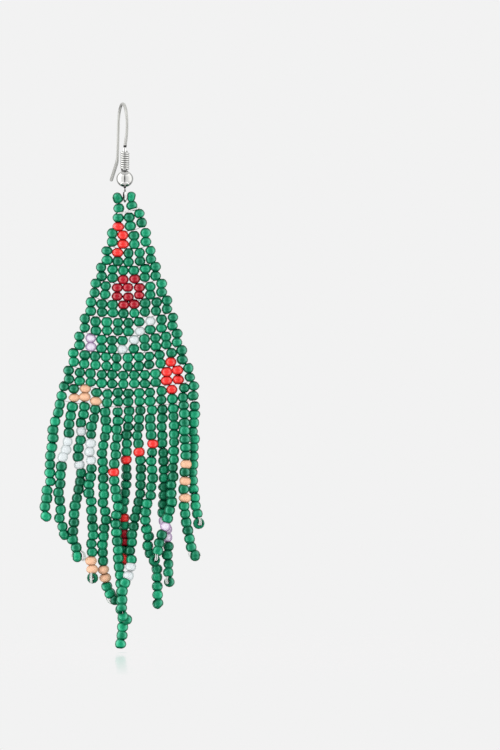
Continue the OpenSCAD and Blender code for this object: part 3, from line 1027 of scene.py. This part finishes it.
# %% Sizes of the ear wire
# Radii and lengths are in millimetres, and angles in degrees. A splay is the lean of a straight stretch
# backwards, and a yaw is how far the standing plane is turned about the stem.
WIRE_WIDTH = 0.55
WIRE_SIDES = 16
ARCH_R = 4.1
ARCH_REACH = 2.0
FRONT_TURN = 35
FRONT_BEND_R = 1.6
BACK_SPLAY = 7.5
BACK_LEG = 5.8
TAIL_BEND_R = 3.0
TAIL_SPLAY = 51
TAIL = 5.15
HOOK_YAW = 12
EYE_R = 1.0
NECK_R = 0.5
EYE_YAW = 8
# The eye's wire goes on past a full turn, to this angle
EYE_END = 422
# One point of an arc for about this many degrees, and of the finished line for each of these millimetres
ARC_STEP = 3
LINE_STEP = 0.08
# The wire is hammered thinner on the legs. Each pair is a share of its length and its width there.
WIRE_PROFILE = np.array([
    [0.00, 0.66], [0.12, 0.64], [0.17, 0.50], [0.32, 0.50], [0.40, 0.58], [0.50, 0.58], [0.56, 0.50],
    [0.62, 0.52], [0.68, 0.62], [0.73, 0.56], [0.75, 0.50], [1.00, 0.50]])
# How far aside the tail's end is
TAIL_ASIDE = 0.26

# %% Lines and arcs of the wire
def arc(centre, radius, start, end):
    """Points centre + radius (cos a, sin a) from one angle to another, in degrees."""
    angle = np.radians(np.linspace(start, end, max(2, round(abs(end - start) / ARC_STEP))))
    return np.array(centre) + radius * np.stack([np.cos(angle), np.sin(angle)], axis=1)


def lean(angle):
    """The direction down a wire that leans backwards by an angle in degrees."""
    return np.array([np.sin(np.radians(angle)), -np.cos(np.radians(angle))])


def out_from(angle):
    """The direction across such a wire, backwards."""
    return np.array([np.cos(np.radians(angle)), np.sin(np.radians(angle))])


def stand_up(flat, yaw):
    """Points of the standing plane, as distance back and height, turned about the stem line."""
    turn = np.radians(yaw)
    return from_stem(np.stack([-flat[:, 0] * np.sin(turn), flat[:, 0] * np.cos(turn), flat[:, 1]], axis=1))


# %% Points of the ear wire
# From the arch backwards and down to the tail, then from the arch forwards and down to the stem, and last
# the eye. A foot is where an arc or line ends lower down, and a top is where one starts.
ball_low, ball_high = (np.array(corner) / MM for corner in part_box("hook_ball"))
ball_reach = (ball_high[2] - ball_low[2]) / 2
neck_top = np.array([0, ball_low[2] - WIRE_WIDTH / 2])
arch_centre = np.array([ARCH_REACH, WIRE_WIDTH / 2 - ARCH_R])
back_top = arch_centre + ARCH_R * out_from(BACK_SPLAY)
back_foot = back_top + BACK_LEG * lean(BACK_SPLAY)
tail_centre = back_foot + TAIL_BEND_R * out_from(BACK_SPLAY)
tail_top = tail_centre - TAIL_BEND_R * out_from(TAIL_SPLAY)
front_foot = arch_centre - ARCH_R * out_from(FRONT_TURN)
front_bend_reach = FRONT_BEND_R * (1 - np.cos(np.radians(FRONT_TURN)))
front_slope = (-front_foot[0] - front_bend_reach) / np.sin(np.radians(FRONT_TURN))
front_end = front_foot + front_slope * lean(FRONT_TURN)
stem_top = np.array([0, front_end[1] - FRONT_BEND_R * np.sin(np.radians(FRONT_TURN))])
neck_turn = np.degrees(np.arccos(NECK_R / (NECK_R + EYE_R)))
eye_centre = neck_top - [0, np.sqrt((NECK_R + EYE_R) ** 2 - NECK_R**2)]
print("below the seat: stem %.1f mm, middle of the eye %.1f mm" % (-stem_top[1], -eye_centre[1]))

# %% Line of the ear wire
hook_flat = np.concatenate([
    [tail_top + TAIL * lean(TAIL_SPLAY)],
    arc(tail_centre, TAIL_BEND_R, 180 + TAIL_SPLAY, 180 + BACK_SPLAY),
    arc(arch_centre, ARCH_R, BACK_SPLAY, 180 + FRONT_TURN),
    arc([-FRONT_BEND_R, stem_top[1]], FRONT_BEND_R, FRONT_TURN, 0)])
eye_flat = np.concatenate([
    [neck_top],
    arc([-NECK_R, neck_top[1]], NECK_R, 0, -neck_turn)[1:],
    arc(eye_centre, EYE_R, 180 - neck_turn, EYE_END)[1:]])


def even(route):
    """The same line with points at equal small steps."""
    length = route_lengths(route)[-1]
    return walk(route, np.linspace(0, length, round(length / LINE_STEP)))[0]


wire_line = even(np.concatenate([stand_up(hook_flat, HOOK_YAW), stand_up(eye_flat, EYE_YAW)]))
# The tail also leans a little aside, the more the further down it is
tail_share = np.clip((tail_top[1] - wire_line[:, 2]) / (tail_top[1] - hook_flat[0, 1]), 0, 1)
in_tail = wire_line[:, 1] - stem_y > back_foot[0] * np.cos(np.radians(HOOK_YAW))
wire_line[:, 0] -= TAIL_ASIDE * tail_share * in_tail
print("the ear wire is %.0f mm long" % route_lengths(wire_line)[-1])

# %% Ear wire
# The bright part starts this far above the stem
BRIGHT_BEND = 0.75
# Painted dark reflections and shade: a spot on the front bend, the neck under the ball, the inside of the eye
# and a faint line along the stem
PAINTED_DARK_REACH = 0.2
EYE_INSIDE = 0.95
PAINTED_LINE_REACH = 0.06
PAINTED_LINE_SHARE = 0.9
across_hook = (*out_from(HOOK_YAW), 0.0)
ear_wire = make_tubes("ear_wire", [wire_line], WIRE_WIDTH, WIRE_SIDES, across_hook, WIRE_PROFILE)
wire_points = np.empty(len(ear_wire.data.vertices) * 3)
ear_wire.data.vertices.foreach_get("co", wire_points)
wire_points = wire_points.reshape(-1, 3) / MM
bright_from = stem_top[1] + BRIGHT_BEND
on_stem = (wire_points[:, 2] < bright_from) & (wire_points[:, 1] < stem_y + 2 * EYE_R)
add_attribute(ear_wire, "bright", "FLOAT", on_stem)
# Where dark reflections and shade are painted on the wire
in_spot = (np.abs(wire_points[:, 2] - bright_from) < PAINTED_DARK_REACH) & (wire_points[:, 1] < stem_y)
in_neck = np.abs(wire_points[:, 2] - ball_low[2]) < PAINTED_DARK_REACH
eye_reach = np.hypot(wire_points[:, 1] - stem_y, wire_points[:, 2] - eye_centre[1])
in_painted_line = on_stem & (np.abs(wire_points[:, 0] - stem_x) < PAINTED_LINE_REACH)
painted_dark = in_spot | in_neck & on_stem | (eye_reach < EYE_INSIDE * EYE_R)
add_attribute(ear_wire, "painted_dark", "FLOAT", np.maximum(painted_dark, PAINTED_LINE_SHARE * in_painted_line))
add_metal(ear_wire, wire_steel, "ear_hook")
print("bright are %d of the ear wire's %d points" % (on_stem.sum(), len(on_stem)))

# %% [markdown]
# The coil and the ball
# Fine wire is wound round the stem just above the ball. It is a tube along a helix, and its first turn
# is tucked in to the stem. The ball is drilled, so its skin is a grid of rings from one edge of the bore to
# the other, and one more ring of faces closes it through the bore. Only the edges of the bore stay sharp.

# %% Coil
COIL_WIDTH = 1.8
COIL_WIRE = 0.38
COIL_TURNS = 8.5
COIL_PITCH = 0.41
COIL_STEPS = 24
COIL_SIDES = 10
# The coil's first turn starts close to the stem, this share of the fine wire away from it
TUCK_TURNS = 0.6
TUCK_SHARE = 0.46
UPWARD = (0.0, 0.0, 1.0)
turn = np.linspace(0, COIL_TURNS, round(COIL_TURNS * COIL_STEPS) + 1)
tucked = WIRE_WIDTH / 2 + TUCK_SHARE * COIL_WIRE
reach = np.interp(turn, [0, TUCK_TURNS], [tucked, (COIL_WIDTH - COIL_WIRE) / 2])
height = stem_top[1] - COIL_WIRE / 2 - turn * COIL_PITCH
helix = np.stack([reach * np.cos(turn * 2 * np.pi), reach * np.sin(turn * 2 * np.pi), height], axis=1)
coil = make_tubes("coil_wire", [from_stem(helix)], COIL_WIRE, COIL_SIDES, UPWARD)
add_metal(coil, coil_steel, "hook_coil")
print("the coil has %.1f turns" % COIL_TURNS)

# %% Ball
BALL_SIDES = 48
BALL_RINGS = 28
EDGE_ANGLE = np.radians(50)
bore_angle = np.arcsin(WIRE_WIDTH / 2 / ball_reach)
polar = np.linspace(bore_angle, np.pi - bore_angle, BALL_RINGS)
around = np.arange(BALL_SIDES) / BALL_SIDES * 2 * np.pi
ball_points = (ball_low + ball_high) / 2 + ball_reach * np.stack([
    np.sin(polar)[:, None] * np.cos(around),
    np.sin(polar)[:, None] * np.sin(around),
    np.broadcast_to(np.cos(polar)[:, None], (BALL_RINGS, BALL_SIDES))], axis=-1)
ball = make_piece("ball", ball_points.reshape(-1, 3), ring_faces(BALL_RINGS, BALL_SIDES, closed=True))
ball.data.set_sharp_from_angle(angle=EDGE_ANGLE)
add_metal(ball, ball_steel, "hook_ball")
print("the ball is %.2f mm across" % (2 * ball_reach))

# %% [markdown]
# The light
# The photograph is lit by very large soft boxes left and right of the camera, which leave only a narrow
# dark gap between them. The ball shows it: two bright fields and a thin dark line. The boxes glow most at
# the sides, and this gives each bead a light crescent left and right of a calm middle. Behind and below
# the earring little light comes in, which keeps the edges of the beads deep. Metal mirrors its whole
# surroundings, so for mirrored rays the world is pale at the back and dark around the camera and below.
# Three more boxes light the metal alone, each through a light linking collection of its own: one above for
# the ear wire, a weaker one above for the ball, and one below for all three metal pieces.

# %% Sizes of the soft boxes
PANEL_HEIGHT = 1100
LEVEL_SIZE = (1000, 1000)
LEVEL_GAP = 560
BACK_PLACE = (0, 450, 260)
BACK_SIZE = (700, 300)
BACK_POWER = 0.5
# A box whose direction is this nearly upright takes its sides from another axis
STEEP = 0.9
MIDDLE_Z = -52.0
middle = np.array([stem_x, stem_y, MIDDLE_Z])


# %% Making a soft box
def soft_light(name, place, size, power):
    """A soft box of the given width and height in millimetres, turned towards the earring's middle."""
    data = bpy.data.lights.new(name, "AREA")
    data.shape = "RECTANGLE"
    data.size, data.size_y = (side * MM for side in size)
    data.energy = power
    light = bpy.data.objects.new(name, data)
    light.visible_camera = False
    bpy.context.scene.collection.objects.link(light)
    back = unit(place - middle)
    across = unit(np.cross([0, 0, 1] if abs(back[2]) < STEEP else [0, 1, 0], back))
    turn = np.eye(4)
    turn[:3, :3] = np.stack([across, np.cross(back, across), back], axis=1)
    turn[:3, 3] = place * MM
    light.matrix_world = turn.T.tolist()
    return light


def panel(name, start, end, glow):
    """An upright soft box between two points given as sideways and back, with energy = glow pi area."""
    start, end = np.array(start), np.array(end)
    width = np.linalg.norm(end - start)
    place = middle + [*(start + end) / 2, 0]
    return soft_light(name, place, (width, PANEL_HEIGHT), glow * np.pi * width * PANEL_HEIGHT * MM**2)


# %% Soft boxes
panel("left_front", (-60, -450), (-345, -290), 1.95)
panel("left_side", (-345, -290), (-430, 180), 2.5)
panel("right_front", (60, -450), (345, -290), 1.75)
panel("right_side", (345, -290), (430, 160), 1.8)
for name, height, glow, pieces in (
        ("sky_panel", LEVEL_GAP, 1.3, [ear_wire]), ("cap_panel", LEVEL_GAP, 0.56, [ball]),
        ("floor_panel", -LEVEL_GAP, 1.6, [ear_wire, coil, ball])):
    lit_pieces = bpy.data.collections.new(name + "_receivers")
    for piece in pieces:
        lit_pieces.objects.link(piece)
    light = soft_light(name, middle + [0, 0, height], LEVEL_SIZE, glow * np.pi * np.prod(LEVEL_SIZE) * MM**2)
    light.light_linking.receiver_collection = lit_pieces
soft_light("back_panel", middle + BACK_PLACE, BACK_SIZE, BACK_POWER)
print("soft boxes:", ", ".join(light.name for light in bpy.data.lights))

# %% Surroundings
# The camera, and what is seen through clear glass, gets the plain pale back
PALE = 0.888
TENT_TOP = 0.20
TENT_BOTTOM = 0.14
MIRROR_FRONT = 0.06
MIRROR_BACK = 1.25
MIRROR_FLOOR = 0.12
# Between which directions the mirrored front turns into the back, and the mirrored floor into the walls
FRONT_TO_BACK = (-0.96, -0.3)
FLOOR_TO_WALL = (-0.7, -0.3)
world = bpy.data.worlds.new("tent")
bpy.context.scene.world = world
tree, output = empty_tree(world, "OutputWorld")
way = add_node(tree, "SeparateXYZ", {"Vector": add_node(tree, "TexCoord").outputs["Generated"]}).outputs
ray = add_node(tree, "LightPath").outputs
tent = ranged(tree, way["Z"], -1, 1, TENT_BOTTOM, TENT_TOP)
mirrored_walls = ranged(tree, way["Y"], *FRONT_TO_BACK, MIRROR_FRONT, MIRROR_BACK)
mirrored = blended(tree, ranged(tree, way["Z"], *FLOOR_TO_WALL, 1.0, 0.0), mirrored_walls, MIRROR_FLOOR)
strength = blended(tree, ray["Is Glossy Ray"], tent, mirrored)
around_it = add_node(tree, "Background", {"Strength": strength}).outputs["Background"]
pale_back = add_node(tree, "Background", {"Color": (PALE, PALE, PALE, 1)}).outputs["Background"]
straight = calculated(tree, "MAXIMUM", ray["Is Camera Ray"], ray["Is Transmission Ray"])
connect(tree, output, {"Surface": layered(tree, straight, around_it, pale_back)})
bpy.context.scene.view_settings.view_transform = "Standard"

# %% [markdown]
# The ground
# The earring hangs just above glossy pale paper, and its tips have a faint pale green mirror image there,
# while the empty paper can't be told from the back. So the paper is a mix of a gloss and a glow, and the
# glow brings just what the gloss leaves off the back's grey. The gloss mirrors more red than green, and the
# glow goes the other way: together they are grey, and where the gloss mirrors something dark, the green
# of the glow is left. Further off, the paper fades out into the back.

# %% Ground
GROUND_GAP = 0.80
GROUND_REACH = 180
GROUND_SIDES = 64
GROUND_GLOSS = 0.39
GROUND_ROUGH = 0.075
GROUND_TINT = np.array([1.0, 0.62, 0.74])
# How bright the back looks in the ground's gloss
GROUND_MIRRORED = 0.965
ground_z = cad_low.z / MM - GROUND_GAP
spokes = np.arange(GROUND_SIDES) / GROUND_SIDES * 2 * np.pi
rings = np.array([1, GROUND_REACH])[:, None]
level = np.full((len(rings), GROUND_SIDES), ground_z)
disc = np.stack([rings * np.cos(spokes), rings * np.sin(spokes), level], axis=-1).reshape(-1, 3)
ground = make_piece("ground", disc, ring_faces(len(rings), GROUND_SIDES), [list(range(GROUND_SIDES))])
ground.visible_diffuse = False
ground.visible_glossy = False
ground.visible_shadow = False

# %% Paper of the ground
material = bpy.data.materials.new("pale_ground")
tree, output = empty_tree(material, "OutputMaterial")
paper_light = (PALE - GROUND_GLOSS * GROUND_MIRRORED * GROUND_TINT) / (1 - GROUND_GLOSS)
glow = add_node(tree, "Emission", {"Color": (*paper_light, 1)}).outputs["Emission"]
gloss = add_node(tree, "BsdfGlossy", {"Color": (*GROUND_TINT, 1), "Roughness": GROUND_ROUGH}).outputs["BSDF"]
paper = layered(tree, GROUND_GLOSS, glow, gloss)
away = add_node(tree, "VectorMath", {0: mapped(tree, object_place(tree), (1, 1, 0))})
away.operation = "LENGTH"
share = ranged(tree, away.outputs["Value"], 0.0, GROUND_REACH * MM, 1.0, 0.0)
nothing = add_node(tree, "BsdfTransparent").outputs["BSDF"]
connect(tree, output, {"Surface": layered(tree, share, nothing, paper)})
ground.data.materials.append(material)
print("the glow of the paper is %.2f red, %.2f green and %.2f blue" % tuple(paper_light))
